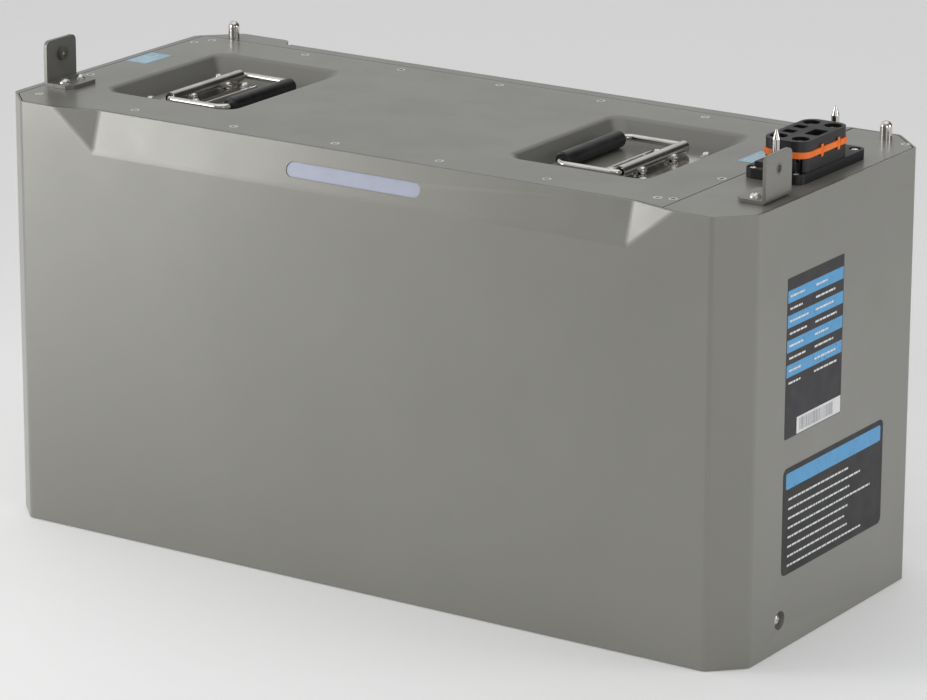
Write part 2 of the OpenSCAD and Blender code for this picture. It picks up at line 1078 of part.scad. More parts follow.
module cell_spacers() {
    color("white")
        for (side = [-1, 1])
            for (k = [1 : cell_count - 1])
                translate([
                    cells_x + k * cell_pitch - cell_gap,
                    cells_y + side * (cell[1] + row_gap) / 2 - cell[1] / 2,
                    cells_z
                ])
                    cube([cell_gap, cell[1], cell[2] - 4]);
}

module end_plate(x) {
    color("silver")
        box(
            [x, cells_y - block_half_d, cells_z],
            [x + end_t, cells_y + block_half_d, cells_top - 2]
        );
}

module base_pad() {
    color("dimgray")
        box(
            [cells_x - end_t, cells_y - block_half_d, 2 * sheet],
            [cells_x + stack_len + end_t, cells_y + block_half_d, cells_z]
        );
}

module busbars() {
    bar_z = cells_top + terminal_h;
    color([0.8, 0.5, 0.3])
        for (side = [-1, 1])
            for (k = [0 : cell_count - 2]) {
                mid_y = cells_y + side * (cell[1] + row_gap) / 2;
                x0 = cells_x + k * cell_pitch + cell[0] / 2;
                end = k % 2 == 0 ? 1 : -1;
                box(
                    [x0 - 9, mid_y + end * 42 - 9, bar_z],
                    [x0 + cell_pitch + 9, mid_y + end * 42 + 9, bar_z + 2]
                );
            }
}

module cell_cover() {
    color("ivory")
        box(
            [cells_x - end_t, cells_y - block_half_d, cover_plate_z],
            [cells_x + stack_len + end_t, cells_y + block_half_d, cover_plate_z + plate_thick]
        );
}

module bms_tray() {
    foot_z = cover_plate_z + plate_thick;
    color("silver") {
        box([-110, -80, tray_z], [190, 80, tray_z + plate_thick]);
        for (x = [-100, 180])
            for (y = [-70, 70])
                translate([x, y, foot_z])
                    cylinder(r = 6, h = tray_z - foot_z + eps);
    }
}

module bms_board() {
    board_z = tray_z + 10;
    color("darkgreen") {
        box([-100, -70, board_z], [90, 70, board_z + 1.6]);
        for (x = [-90, 80])
            for (y = [-60, 60])
                translate([x, y, tray_z + 2])
                    cylinder(r = 3, h = 8 + eps);
        for (k = [0 : 7])
            box([-80 + 20 * k, -20, board_z + 1.5], [-72 + 20 * k, 20, board_z + 14]);
    }
}

module main_fuse() {
    color("ivory") {
        box([110, -25, tray_z + 2], [180, 25, tray_z + 10]);
        translate([145, 0, tray_z + 22])
            rotate([0, 90, 0])
                cylinder(r = 12.5, h = 44, center = true);
        for (x = [-1, 1])
            box([145 + x * 26 - 5, -10, tray_z + 9], [145 + x * 26 + 5, 10, tray_z + 30]);
    }
}

// Smooth path through the points, after Catmull and Rom
function path_point(a, b, c, d, t) =
    0.5 * (
        2 * b + (c - a) * t + (2 * a - 5 * b + 4 * c - d) * t * t
        + (3 * b - a - 3 * c + d) * t * t * t
    );

function smooth_path(points) =
    let (last = len(points) - 1)
    concat(
        [for (i = [0 : last - 1])
            for (k = [0 : path_steps - 1])
                path_point(
                    points[max(i - 1, 0)], points[i], points[i + 1],
                    points[min(i + 2, last)], k / path_steps
                )
        ],
        [points[last]]
    );

// One closed tube along the path
module cable(points, r) {
    path = smooth_path(points);
    last = len(path) - 1;
    rings = [for (i = [0 : last])
        let (
            along = unit(path[min(i + 1, last)] - path[max(i - 1, 0)]),
            side = unit(cross([0, 1, 0], along)),
            up = cross(along, side)
        )
        for (k = [0 : cable_sides - 1])
            path[i] + r * (
                side * cos(360 * k / cable_sides) + up * sin(360 * k / cable_sides)
            )
    ];
    walls = [for (i = [0 : last - 1])
        for (k = [0 : cable_sides - 1])
            let (
                a = i * cable_sides + k,
                b = i * cable_sides + (k + 1) % cable_sides
            )
            each [[a, a + cable_sides, b], [b, a + cable_sides, b + cable_sides]]
    ];
    start = [[for (k = [0 : cable_sides - 1]) k]];
    end = [[for (k = [cable_sides - 1 : -1 : 0]) last * cable_sides + k]];
    polyhedron(points = rings, faces = concat(start, walls, end), convexity = 4);
}

// Rods that link the top contacts to the base contacts
module link_leads() {
    color([0.8, 0.5, 0.3])
        at_points(power_points, base_contact_top)
            cylinder(r = lead_r, h = top_contact_low - base_contact_top);
}

module cable_positive() {
    y = plug_y + 23.5;
    color("darkred")
        cable([
            [173, 0, tray_z + 31], [173, 0, tray_z + 38], [187, 6, tray_z + 47],
            [215, y - 8, tray_z + 50], [245, y, tray_z + 48], [lead_end, y, tray_z + 46]
        ], cable_r);
}

module cable_negative() {
    y = plug_y - 23.5;
    color([0.1, 0.1, 0.1])
        cable([
            [80, y, tray_z + 13], [80, y, tray_z + 22], [100, y - 12, tray_z + 38],
            [150, y - 20, tray_z + 42], [205, y - 18, tray_z + 46],
            [245, y, tray_z + 48], [lead_end, y, tray_z + 46]
        ], cable_r);
}

case_shell();
rear_panel();
rear_panel_screws();
base_plate();
base_screws();
top_cover();
end_cover();
cover_gasket();
cover_screws();
earth_boss();
earth_screw();
on_handle(-1) handle_base();  // handle_base_left
on_handle(1) handle_base();  // handle_base_right
on_handle(-1) handle_bail();  // handle_bail_left
on_handle(1) handle_bail();  // handle_bail_right
on_handle(-1) handle_grip();  // handle_grip_left
on_handle(1) handle_grip();  // handle_grip_right
on_handle(-1) handle_screws();  // handle_screws_left
on_handle(1) handle_screws();  // handle_screws_right
on_bracket(-1) bracket();  // bracket_left
on_bracket(1) bracket();  // bracket_right
on_bracket(-1) bracket_nut();  // bracket_nut_left
on_bracket(1) bracket_nut();  // bracket_nut_right
on_bracket(-1) bracket_screws();  // bracket_screws_left
on_bracket(1) bracket_screws();  // bracket_screws_right
guide_pin(-1);  // guide_pin_left
guide_pin(1);  // guide_pin_right
guide_pin_nuts();
guide_socket(-1);  // guide_socket_left
guide_socket(1);  // guide_socket_right
connector_pin(-1);  // connector_pin_front
connector_pin(1);  // connector_pin_back
connector_housing();
connector_seal();
power_contacts();
signal_contacts();
connector_screws();
base_connector();
base_contacts();
light_window();
light_board();
rating_label();
barcode_label();
warning_label();
top_label_left();
top_label_right();
cell_row(-1);  // cell_row_front
cell_row(1);  // cell_row_back
cell_spacers();
end_plate(cells_x - end_t);  // end_plate_left
end_plate(cells_x + stack_len);  // end_plate_right
base_pad();
busbars();
cell_cover();
bms_tray();
bms_board();
main_fuse();
link_leads();
cable_positive();
cable_negative();
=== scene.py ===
import json
import math
import random

import bmesh
import bpy
from mathutils import Matrix, Vector

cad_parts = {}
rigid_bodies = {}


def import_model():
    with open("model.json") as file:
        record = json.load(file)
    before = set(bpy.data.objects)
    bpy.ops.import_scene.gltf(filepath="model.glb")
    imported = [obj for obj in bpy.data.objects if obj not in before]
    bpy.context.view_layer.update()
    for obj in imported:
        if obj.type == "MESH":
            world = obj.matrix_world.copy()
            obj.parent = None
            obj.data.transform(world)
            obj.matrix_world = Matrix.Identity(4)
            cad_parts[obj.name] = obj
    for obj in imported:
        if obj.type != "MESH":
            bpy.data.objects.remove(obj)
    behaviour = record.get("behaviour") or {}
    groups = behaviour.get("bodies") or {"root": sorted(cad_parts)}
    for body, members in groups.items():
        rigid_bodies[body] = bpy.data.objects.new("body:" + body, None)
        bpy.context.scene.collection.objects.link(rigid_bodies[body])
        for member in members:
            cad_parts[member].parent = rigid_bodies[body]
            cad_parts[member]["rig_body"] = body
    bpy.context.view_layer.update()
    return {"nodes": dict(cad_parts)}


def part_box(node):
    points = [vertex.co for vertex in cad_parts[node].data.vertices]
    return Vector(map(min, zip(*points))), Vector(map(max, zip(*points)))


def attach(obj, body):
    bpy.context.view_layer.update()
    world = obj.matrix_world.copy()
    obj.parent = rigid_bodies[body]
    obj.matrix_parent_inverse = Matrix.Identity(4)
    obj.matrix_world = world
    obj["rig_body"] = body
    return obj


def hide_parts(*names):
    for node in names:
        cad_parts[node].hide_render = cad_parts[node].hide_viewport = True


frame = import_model()
nodes = frame["nodes"]
MM = 0.001
random.seed(7)

# ---------------------------------------------------------------- node helpers


def new_material(name):
    material = bpy.data.materials.new(name)
    material.use_nodes = True
    tree = material.node_tree
    shader = next(n for n in tree.nodes if n.type == "BSDF_PRINCIPLED")
    return material, tree, shader


def add_node(tree, kind, **inputs):
    node = tree.nodes.new(kind)
    for name, value in inputs.items():
        node.inputs[name.replace("_", " ")].default_value = value
    return node


def object_space(tree, stretch=(1, 1, 1)):
    """Object coordinates, stretched along each axis."""
    where = tree.nodes.new("ShaderNodeTexCoord")
    mapping = tree.nodes.new("ShaderNodeMapping")
    mapping.inputs["Scale"].default_value = stretch
    tree.links.new(where.outputs["Object"], mapping.inputs["Vector"])
    return mapping.outputs["Vector"]


def noise(tree, vector, scale, detail=3.0, rough=0.55):
    node = add_node(tree, "ShaderNodeTexNoise", Scale=scale, Detail=detail, Roughness=rough)
    tree.links.new(vector, node.inputs["Vector"])
    return node.outputs["Fac"]


def spread(tree, value, low, high, start=0.35, end=0.65):
    """Maps a 0 to 1 pattern onto the range low to high."""
    node = tree.nodes.new("ShaderNodeMapRange")
    node.inputs["From Min"].default_value = start
    node.inputs["From Max"].default_value = end
    node.inputs["To Min"].default_value = low
    node.inputs["To Max"].default_value = high
    tree.links.new(value, node.inputs["Value"])
    return node.outputs["Result"]


def blend_colours(tree, factor, first, second):
    node = tree.nodes.new("ShaderNodeMix")
    node.data_type = "RGBA"
    tree.links.new(factor, node.inputs["Factor"])
    for socket, value in ((node.inputs[6], first), (node.inputs[7], second)):
        if isinstance(value, tuple):
            socket.default_value = (*value[:3], 1.0)
        else:
            tree.links.new(value, socket)
    return node.outputs[2]


def add_bumps(tree, shader, layers):
    """Stacks bump layers, each (height, strength, depth in metres)."""
    normal = None
    for height, strength, depth in layers:
        bump = add_node(tree, "ShaderNodeBump", Strength=strength, Distance=depth)
        tree.links.new(height, bump.inputs["Height"])
        if normal:
            tree.links.new(normal, bump.inputs["Normal"])
        normal = bump.outputs["Normal"]
    tree.links.new(normal, shader.inputs["Normal"])


def painted_edge_highlight(tree):
    """Painted highlight mask: 1 on sharp outer edges, 0 elsewhere."""
    geometry = tree.nodes.new("ShaderNodeNewGeometry")
    return spread(tree, geometry.outputs["Pointiness"], 0.0, 1.0, 0.52, 0.60)


def scaled(colour, factor):
    return tuple(c * factor for c in colour[:3])


# ------------------------------------------------------------------- materials


def powder_coat(name, colour, rough=0.36, metallic=0.25):
    """Satin powder coat: fine orange peel, faint clouding and a painted highlight that lightens
    sharp edges.
    """
    material, tree, shader = new_material(name)
    space = object_space(tree)
    clouds = noise(tree, space, 5.0, 3.0)
    grain = noise(tree, space, 1400.0, 2.0)
    peel = noise(tree, space, 420.0, 2.0)
    smudges = noise(tree, space, 22.0, 4.0, 0.6)
    base = blend_colours(
        tree, spread(tree, clouds, 0.0, 1.0), scaled(colour, 0.96), scaled(colour, 1.04)
    )
    speckled = blend_colours(tree, spread(tree, grain, 0.0, 0.16), base, scaled(colour, 1.35))
    # painted highlight: sharp edges lighter in colour, standing in for light caught on them
    edge = painted_edge_highlight(tree)
    final = blend_colours(
        tree, spread(tree, edge, 0.0, 0.25, 0.0, 1.0), speckled, scaled(colour, 1.3)
    )
    tree.links.new(final, shader.inputs["Base Color"])
    tree.links.new(
        spread(tree, smudges, rough - 0.03, rough + 0.04), shader.inputs["Roughness"]
    )
    shader.inputs["Metallic"].default_value = metallic
    shader.inputs["Coat Weight"].default_value = 0.3
    shader.inputs["Coat Roughness"].default_value = 0.2
    add_bumps(tree, shader, [(peel, 0.10, 0.00006), (grain, 0.08, 0.00002)])
    return material


def polished_steel(name, colour=(0.72, 0.71, 0.69), rough=0.16, stretch=(1, 1, 1)):
    """Bright steel with fine polishing lines and faint handling marks."""
    material, tree, shader = new_material(name)
    lines = noise(tree, object_space(tree, stretch), 900.0, 3.0)
    space = object_space(tree)
    marks = noise(tree, space, 60.0, 5.0, 0.65)
    tone = blend_colours(
        tree, spread(tree, marks, 0.0, 1.0), scaled(colour, 0.88), scaled(colour, 1.08)
    )
    tree.links.new(tone, shader.inputs["Base Color"])
    tree.links.new(spread(tree, marks, rough * 0.75, rough * 1.35), shader.inputs["Roughness"])
    shader.inputs["Metallic"].default_value = 1.0
    add_bumps(tree, shader, [(lines, 0.12, 0.00003), (marks, 0.05, 0.0001)])
    return material


def moulded_plastic(name, colour, rough=0.42, grain_scale=700.0, grain_strength=0.25):
    """Fine spark-eroded mould texture, with a painted highlight that lightens sharp edges."""
    material, tree, shader = new_material(name)
    space = object_space(tree)
    grain = noise(tree, space, grain_scale, 2.0)
    clouds = noise(tree, space, 30.0, 4.0)
    # painted highlight: lighter colour on sharp edges, standing in for sheen
    edge = painted_edge_highlight(tree)
    tone = blend_colours(
        tree, spread(tree, clouds, 0.0, 1.0), scaled(colour, 0.85), scaled(colour, 1.15)
    )
    lit = tuple(min(1.0, c * 1.5 + 0.02) for c in colour[:3])
    final = blend_colours(tree, spread(tree, edge, 0.0, 0.4, 0.0, 1.0), tone, lit)
    tree.links.new(final, shader.inputs["Base Color"])
    tree.links.new(spread(tree, clouds, rough - 0.05, rough + 0.06), shader.inputs["Roughness"])
    add_bumps(tree, shader, [(grain, grain_strength, 0.00005)])
    return material


def rubber(name, colour, rough=0.5):
    """Moulded rubber: faint bloom, fine pores and soft streaks."""
    material, tree, shader = new_material(name)
    space = object_space(tree)
    pores = noise(tree, space, 1100.0, 2.0)
    bloom = noise(tree, space, 45.0, 5.0, 0.6)
    pale = tuple(min(1.0, c * 1.35 + 0.015) for c in colour[:3])
    tone = blend_colours(tree, spread(tree, bloom, 0.0, 1.0), colour, pale)
    tree.links.new(tone, shader.inputs["Base Color"])
    tree.links.new(spread(tree, bloom, rough - 0.07, rough + 0.07), shader.inputs["Roughness"])
    add_bumps(tree, shader, [(pores, 0.22, 0.00004), (bloom, 0.1, 0.00015)])
    return material


def printed_film(name, colour, rough=0.3):
    """Ink on a smooth plastic film, with slight unevenness."""
    material, tree, shader = new_material(name)
    space = object_space(tree)
    ink = noise(tree, space, 90.0, 4.0)
    weave = noise(tree, space, 1600.0, 2.0)
    tone = blend_colours(
        tree, spread(tree, ink, 0.0, 1.0), scaled(colour, 0.93), scaled(colour, 1.05)
    )
    tree.links.new(tone, shader.inputs["Base Color"])
    tree.links.new(spread(tree, ink, rough - 0.04, rough + 0.06), shader.inputs["Roughness"])
    add_bumps(tree, shader, [(weave, 0.08, 0.00002)])
    return material


def diffuser(name, colour):
    """Frosted light window, faintly glowing."""
    material, tree, shader = new_material(name)
    space = object_space(tree)
    frost = noise(tree, space, 1300.0, 2.0)
    clouds = noise(tree, space, 60.0, 3.0)
    tone = blend_colours(
        tree, spread(tree, clouds, 0.0, 1.0), scaled(colour, 0.95), scaled(colour, 1.03)
    )
    tree.links.new(tone, shader.inputs["Base Color"])
    tree.links.new(spread(tree, clouds, 0.3, 0.4), shader.inputs["Roughness"])
    shader.inputs["Subsurface Weight"].default_value = 0.3
    shader.inputs["Subsurface Radius"].default_value = (0.002, 0.002, 0.002)
    shader.inputs["Emission Color"].default_value = (0.85, 0.85, 1.0, 1.0)
    shader.inputs["Emission Strength"].default_value = 0.06
    add_bumps(tree, shader, [(frost, 0.15, 0.00003)])
    return material


PAINT = (0.236, 0.233, 0.211)
paint = powder_coat("case_paint", PAINT)
bracket_paint = powder_coat("bracket_paint", scaled(PAINT, 0.92), 0.4)
zinc = polished_steel("screw_zinc", (0.80, 0.79, 0.77), 0.3)
nut_steel = polished_steel("nut_steel", (0.24, 0.235, 0.22), 0.55)
steel = polished_steel("handle_steel", (0.74, 0.72, 0.69), 0.15, (1, 0.04, 1))
pin_steel = polished_steel("pin_steel", (0.72, 0.69, 0.66), 0.13, (1, 1, 0.04))
brass = polished_steel("contact_brass", (0.75, 0.56, 0.28), 0.25)
copper = polished_steel("bar_copper", (0.72, 0.38, 0.22), 0.3)
aluminium = polished_steel("plate_aluminium", (0.68, 0.69, 0.70), 0.38, (1, 1, 0.05))
grip_rubber = rubber("grip_rubber", (0.012, 0.012, 0.013), 0.34)
gasket_rubber = rubber("gasket_rubber", (0.02, 0.02, 0.02), 0.6)
seal_rubber = rubber("seal_rubber", (0.95, 0.16, 0.006), 0.5)
black_plastic = moulded_plastic("connector_plastic", (0.006, 0.006, 0.007), 0.45)
white_plastic = moulded_plastic("insulator_plastic", (0.72, 0.72, 0.69), 0.5)
board_green = moulded_plastic("board_green", (0.01, 0.09, 0.035), 0.35, 300.0)
cell_blue = moulded_plastic("cell_film", (0.02, 0.12, 0.4), 0.3)
fuse_white = moulded_plastic("fuse_ceramic", (0.75, 0.72, 0.66), 0.35)
cable_red = moulded_plastic("cable_red", (0.45, 0.01, 0.01), 0.45)
cable_black = moulded_plastic("cable_black", (0.015, 0.015, 0.015), 0.45)
lens = diffuser("light_lens", (0.38, 0.40, 0.50))
label_dark = printed_film("label_dark", (0.014, 0.012, 0.017), 0.42)
label_black = printed_film("label_black", (0.006, 0.0065, 0.008), 0.42)
label_blue = printed_film("label_blue", (0.085, 0.36, 0.68))
label_pale_blue = printed_film("label_pale_blue", (0.36, 0.60, 0.76), 0.45)
label_white = printed_film("label_white", (0.78, 0.78, 0.79), 0.4)
label_grey = printed_film("label_grey", (0.36, 0.37, 0.38), 0.4)

LOOKS = {
    paint: "case_shell rear_panel base_plate top_cover end_cover earth_boss",
    bracket_paint: "bracket_left bracket_right",
    zinc: "rear_panel_screws base_screws cover_screws earth_screw handle_screws_left "
    "handle_screws_right bracket_screws_left bracket_screws_right connector_screws "
    "guide_pin_nuts",
    nut_steel: "bracket_nut_left bracket_nut_right",
    steel: "handle_base_left handle_base_right handle_bail_left handle_bail_right",
    pin_steel: "guide_pin_left guide_pin_right connector_pin_front connector_pin_back "
    "guide_socket_left guide_socket_right power_contacts",
    brass: "signal_contacts base_contacts",
    copper: "busbars link_leads",
    aluminium: "end_plate_left end_plate_right bms_tray",
    grip_rubber: "handle_grip_left handle_grip_right",
    gasket_rubber: "cover_gasket base_pad",
    seal_rubber: "connector_seal",
    black_plastic: "connector_housing base_connector",
    white_plastic: "cell_spacers cell_cover",
    board_green: "bms_board light_board",
    cell_blue: "cell_row_front cell_row_back",
    fuse_white: "main_fuse",
    cable_red: "cable_positive",
    cable_black: "cable_negative",
    lens: "light_window",
    label_dark: "rating_label",
    label_black: "warning_label",
    label_white: "barcode_label",
    label_pale_blue: "top_label_left top_label_right",
}
for material, names in LOOKS.items():
    for name in names.split():
        mesh = nodes[name].data
        mesh.materials.clear()
        mesh.materials.append(material)

# ------------------------------------------------------------- softened copies

WELD_DISTANCE = 0.02 * MM
FLAT_ANGLE = math.radians(0.6)
BEVEL_ANGLE = math.radians(14.0)
SMOOTH_ANGLE = math.radians(13.0)


def merged_copy(node):
    """A copy of a CAD node with welded vertices and whole flat faces."""
    source = nodes[node]
    mesh = bmesh.new()
    mesh.from_mesh(source.data)
    bmesh.ops.remove_doubles(mesh, verts=mesh.verts, dist=WELD_DISTANCE)
    bmesh.ops.dissolve_limit(mesh, angle_limit=FLAT_ANGLE, verts=mesh.verts, edges=mesh.edges)
    return mesh


def round_edges(mesh, edges, width, segments=4):
    bmesh.ops.bevel(
        mesh,
        geom=edges,
        offset=width,
        segments=segments,
        profile=0.5,
        affect="EDGES",
        clamp_overlap=True,
    )


def edges_where(mesh, test):
    """Edges whose two ends both pass the test."""
    return [e for e in mesh.edges if all(test(v.co) for v in e.verts)]


def soften(node, width, shape=None):
    """Replaces a CAD node with a copy whose sharp edges are rounded."""
    mesh = merged_copy(node)
    if shape:
        shape(mesh)
    data = bpy.data.meshes.new(node + "_soft")
    mesh.to_mesh(data)
    mesh.free()
    data.materials.append(nodes[node].data.materials[0])
    piece = bpy.data.objects.new(node + "_soft", data)
    bpy.context.scene.collection.objects.link(piece)
    if width:
        bevel = piece.modifiers.new("round", "BEVEL")
        bevel.width = width
        bevel.segments = 2
        bevel.limit_method = "ANGLE"
        bevel.angle_limit = BEVEL_ANGLE
        bevel.use_clamp_overlap = True
    finish_piece(piece, nodes[node]["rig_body"])
    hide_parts(node)
    return piece


def finish_piece(piece, body):
    """Applies the piece's modifiers, shades it and lets it ride on its body."""
    bpy.context.view_layer.objects.active = piece
    for other in bpy.context.selected_objects:
        other.select_set(False)
    piece.select_set(True)
    for modifier in list(piece.modifiers):
        bpy.ops.object.modifier_apply(modifier=modifier.name)
    bpy.ops.object.shade_smooth_by_angle(angle=SMOOTH_ANGLE)
    weighted = piece.modifiers.new("weighted", "WEIGHTED_NORMAL")
    weighted.keep_sharp = True
    bpy.ops.object.modifier_apply(modifier=weighted.name)
    piece.select_set(False)
    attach(piece, body)


RECESS_HEIGHT = 30 * MM
RECESS_END = (231 * MM, 272 * MM)
case_low, case_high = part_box("case_shell")
cover_low, cover_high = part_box("top_cover")
front_y = case_low.y
top_z = case_high.z
recess_z = top_z - RECESS_HEIGHT
dish_z = cover_low.z + 2 * MM
dish_mid = (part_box("handle_grip_left")[0].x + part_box("handle_grip_right")[1].x) / 2
DISH_X = 182 * MM
DISH_RIM = (59.5 * MM, 75 * MM)


def soften_recess(mesh):
    """Rounds the lower edge and the end edges of the sloped recess."""

    def on_lower(co):
        return abs(co.z - recess_z) < 0.5 * MM and co.y < front_y + 0.5 * MM

    def on_end(co):
        near_front = co.y < front_y + 10 * MM
        at_end = RECESS_END[0] < abs(co.x) < RECESS_END[1]
        return near_front and at_end and co.z > recess_z - MM

    edges = edges_where(mesh, on_lower)
    for edge in edges_where(mesh, on_end):
        rise = abs(edge.verts[0].co.z - edge.verts[1].co.z)
        if rise > 20 * MM and edge not in edges:
            edges.append(edge)
    round_edges(mesh, edges, 2.2 * MM, 4)
    soften_rim(mesh)


def soften_rim(mesh):
    """Rounds the outer upper edge, where the walls end beside the covers."""

    def is_outer(edge):
        faces = edge.link_faces
        if len(faces) != 2 or any(abs(v.co.z - top_z) > 0.05 * MM for v in edge.verts):
            return False
        up, out = sorted(faces, key=lambda face: -face.normal.z)
        if up.normal.z < 0.99:
            return False
        middle = (edge.verts[0].co + edge.verts[1].co) / 2
        return out.normal.z > -0.1 and out.normal.xy.dot(middle.xy) > 0.02

    round_edges(mesh, [e for e in mesh.edges if is_outer(e)], 1.1 * MM, 4)


def soften_dishes(mesh):
    """Rounds the pressed dishes where they meet the sheet and the floor."""

    def near_dish(co):
        across = abs(abs(co.x - dish_mid) - DISH_X)
        return across < DISH_RIM[0] + MM and abs(co.y) < DISH_RIM[1] + MM

    def on_rim(co):
        across = abs(abs(co.x - dish_mid) - DISH_X)
        outer = across > DISH_RIM[0] - 14 * MM or abs(co.y) > DISH_RIM[1] - 14 * MM
        return near_dish(co) and outer and abs(co.z - top_z) < 0.2 * MM

    def on_floor(co):
        across = abs(abs(co.x - dish_mid) - DISH_X)
        outer = across > 38 * MM or abs(co.y) > 54 * MM
        return near_dish(co) and outer and abs(co.z - dish_z) < 0.2 * MM

    round_edges(mesh, edges_where(mesh, on_rim), 4.5 * MM, 6)
    round_edges(mesh, edges_where(mesh, on_floor), 4.0 * MM, 5)


SOFTENED = {
    "case_shell": (0.0004, "case_paint", soften_recess),
    "top_cover": (0.0, "case_paint", soften_dishes),
    "end_cover": (0.0003, "case_paint", None),
    "bracket_left": (0.0006, "case_paint", None),
    "bracket_right": (0.0006, "case_paint", None),
    "connector_housing": (0.0005, "connector_plastic", None),
    "connector_seal": (0.0004, "seal_rubber", None),
    "handle_base_left": (0.0003, "handle_steel", None),
    "handle_base_right": (0.0003, "handle_steel", None),
}
for node, (width, slot, shape) in SOFTENED.items():
    soften(node, width, shape=shape)

# --------------------------------------------------------------- label prints
# Outlines are in millimetres: u runs along the label, v down from its top edge.
# The prints are generic: evenly spaced rows and bars, worked out from each
# label's size, without lettering, symbols or the layout of a real label.

PRINT_SINK = 0.05


def bar(u0, v0, u1, v1):
    return [(u0, v0), (u1, v0), (u1, v1), (u0, v1)]


def round_bar(u0, v0, u1, v1, radius, steps=5):
    points = []
    corners = ((u1, v1, 0), (u0, v1, 90), (u0, v0, 180), (u1, v0, 270))
    for u, v, start in corners:
        inner_u = u - radius if u == u1 else u + radius
        inner_v = v - radius if v == v1 else v + radius
        for k in range(steps + 1):
            turn = math.radians(start + 90 * k / steps)
            points.append((inner_u + radius * math.cos(turn), inner_v + radius * math.sin(turn)))
    return points


def word_bars(left, right, top, height):
    """One line of uneven bars, the length of words."""
    bars = []
    at = left
    while at < right - 1.0:
        end = min(at + random.uniform(2.2, 7.0), right)
        bars.append(bar(at, top, end, top + height))
        at = end + height * 0.55
    return bars


def on_side(label):
    """Places u, v and a height on a label of the right side."""
    low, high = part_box(label)
    return lambda u, v, rise: (high.x + rise * MM, low.y + u * MM, high.z - v * MM)


def on_top(label):
    """Places u, v and a height on a label of the top."""
    low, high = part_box(label)
    return lambda u, v, rise: (high.x - v * MM, low.y + u * MM, high.z + rise * MM)


def print_on(name, place, outlines, material, rise=0.03):
    """Thin closed prisms, one for each outline, sunk into the label below."""
    mesh = bmesh.new()
    for outline in outlines:
        lower = [mesh.verts.new(place(u, v, -PRINT_SINK)) for u, v in outline]
        upper = [mesh.verts.new(place(u, v, rise)) for u, v in outline]
        mesh.faces.new(lower)
        mesh.faces.new(list(reversed(upper)))
        for k in range(len(outline)):
            after = (k + 1) % len(outline)
            mesh.faces.new((lower[after], lower[k], upper[k], upper[after]))
    bmesh.ops.recalc_face_normals(mesh, faces=mesh.faces)
    data = bpy.data.meshes.new(name)
    mesh.to_mesh(data)
    mesh.free()
    data.materials.append(material)
    piece = bpy.data.objects.new(name, data)
    bpy.context.scene.collection.objects.link(piece)
    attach(piece, "case")
    return piece


LABEL_EDGE = 4.0
LINE_HEIGHT = 1.5
RATING_ROWS = 4
NOTICE_LINES = 8


def side_size(label):
    """Width and height of a label of the right side."""
    low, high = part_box(label)
    return (high.y - low.y) / MM, (high.z - low.z) / MM


def rating_prints():
    """Evenly spaced blue rows, with word-like bars in two columns."""
    place = on_side("rating_label")
    wide, tall = side_size("rating_label")
    pitch = tall / 13
    rows = [
        bar(0.7, pitch * (2 * k + 1), wide - 0.7, pitch * (2 * k + 2)) for k in range(RATING_ROWS)
    ]
    print_on("rating_rows", place, rows, label_blue, 0.015)
    marks = []
    for k in range(2 * RATING_ROWS):
        top = pitch * (k + 1.5) - LINE_HEIGHT / 2
        marks += word_bars(LABEL_EDGE, wide * random.uniform(0.25, 0.4), top, LINE_HEIGHT)
        marks += word_bars(wide / 2, wide * random.uniform(0.7, 0.93), top, LINE_HEIGHT)
    print_on("rating_bars", place, marks, label_white)


def barcode_prints():
    """A white patch in place of the CAD label, with random stripes."""
    place = on_side("rating_label")
    low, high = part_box("barcode_label")
    rating_low, rating_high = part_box("rating_label")
    left, right = ((y - rating_low.y) / MM for y in (low.y, high.y))
    top, bottom = ((rating_high.z - z) / MM for z in (high.z, low.z))
    patch = print_on(
        "barcode_patch", place, [round_bar(left, top, right, bottom, 0.6)], label_white, 0.03
    )
    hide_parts("barcode_label")
    stripes = []
    at = left + 4.0
    while at < right - 12.0:
        width = random.choice((0.45, 0.45, 0.9, 1.3))
        stripes.append(bar(at, top + 1.8, at + width, bottom - 1.8))
        at += width + random.choice((0.5, 0.5, 1.0))
    print_on("barcode_stripes", place, stripes, label_grey, 0.05)


def notice_prints():
    """A plain blue band above evenly spaced lines of word-like bars."""
    place = on_side("warning_label")
    wide, tall = side_size("warning_label")
    band = round_bar(LABEL_EDGE, LABEL_EDGE, wide - LABEL_EDGE, tall * 0.2, 2.0)
    print_on("notice_band", place, [band], label_blue, 0.015)
    marks = []
    for k in range(NOTICE_LINES):
        top = tall * (0.29 + 0.62 * k / (NOTICE_LINES - 1))
        marks += word_bars(2 * LABEL_EDGE, wide * random.uniform(0.6, 0.93), top, LINE_HEIGHT)
    print_on("notice_bars", place, marks, label_white)


def top_prints(side):
    """Faint lines on the label beside a handle."""
    label = "top_label_" + side
    low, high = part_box(label)
    across, along = ((high - low) / MM).xy
    lines = []
    for k in range(5):
        reach = along * random.uniform(0.55, 0.9)
        lines += word_bars(2.5, reach, 3.0 + k * (across - 6.0) / 4.4, 1.1)
    print_on("top_bars_" + side, on_top(label), lines, label_white, 0.02)


rating_prints()
barcode_prints()
notice_prints()
for side in ("left", "right"):
    top_prints(side)

# ------------------------------------------------------------ stage and camera


def area_light(name, where, size, power, target):
    data = bpy.data.lights.new(name, "AREA")
    data.shape = "RECTANGLE"
    data.size, data.size_y = size
    data.energy = power
    lamp = bpy.data.objects.new(name, data)
    bpy.context.scene.collection.objects.link(lamp)
    lamp.location = where
    aim = Vector(target) - Vector(where)
    lamp.rotation_euler = aim.to_track_quat("-Z", "Y").to_euler()


FLOOR_HALF = 6.0
FLOOR_DROP = 0.6 * MM


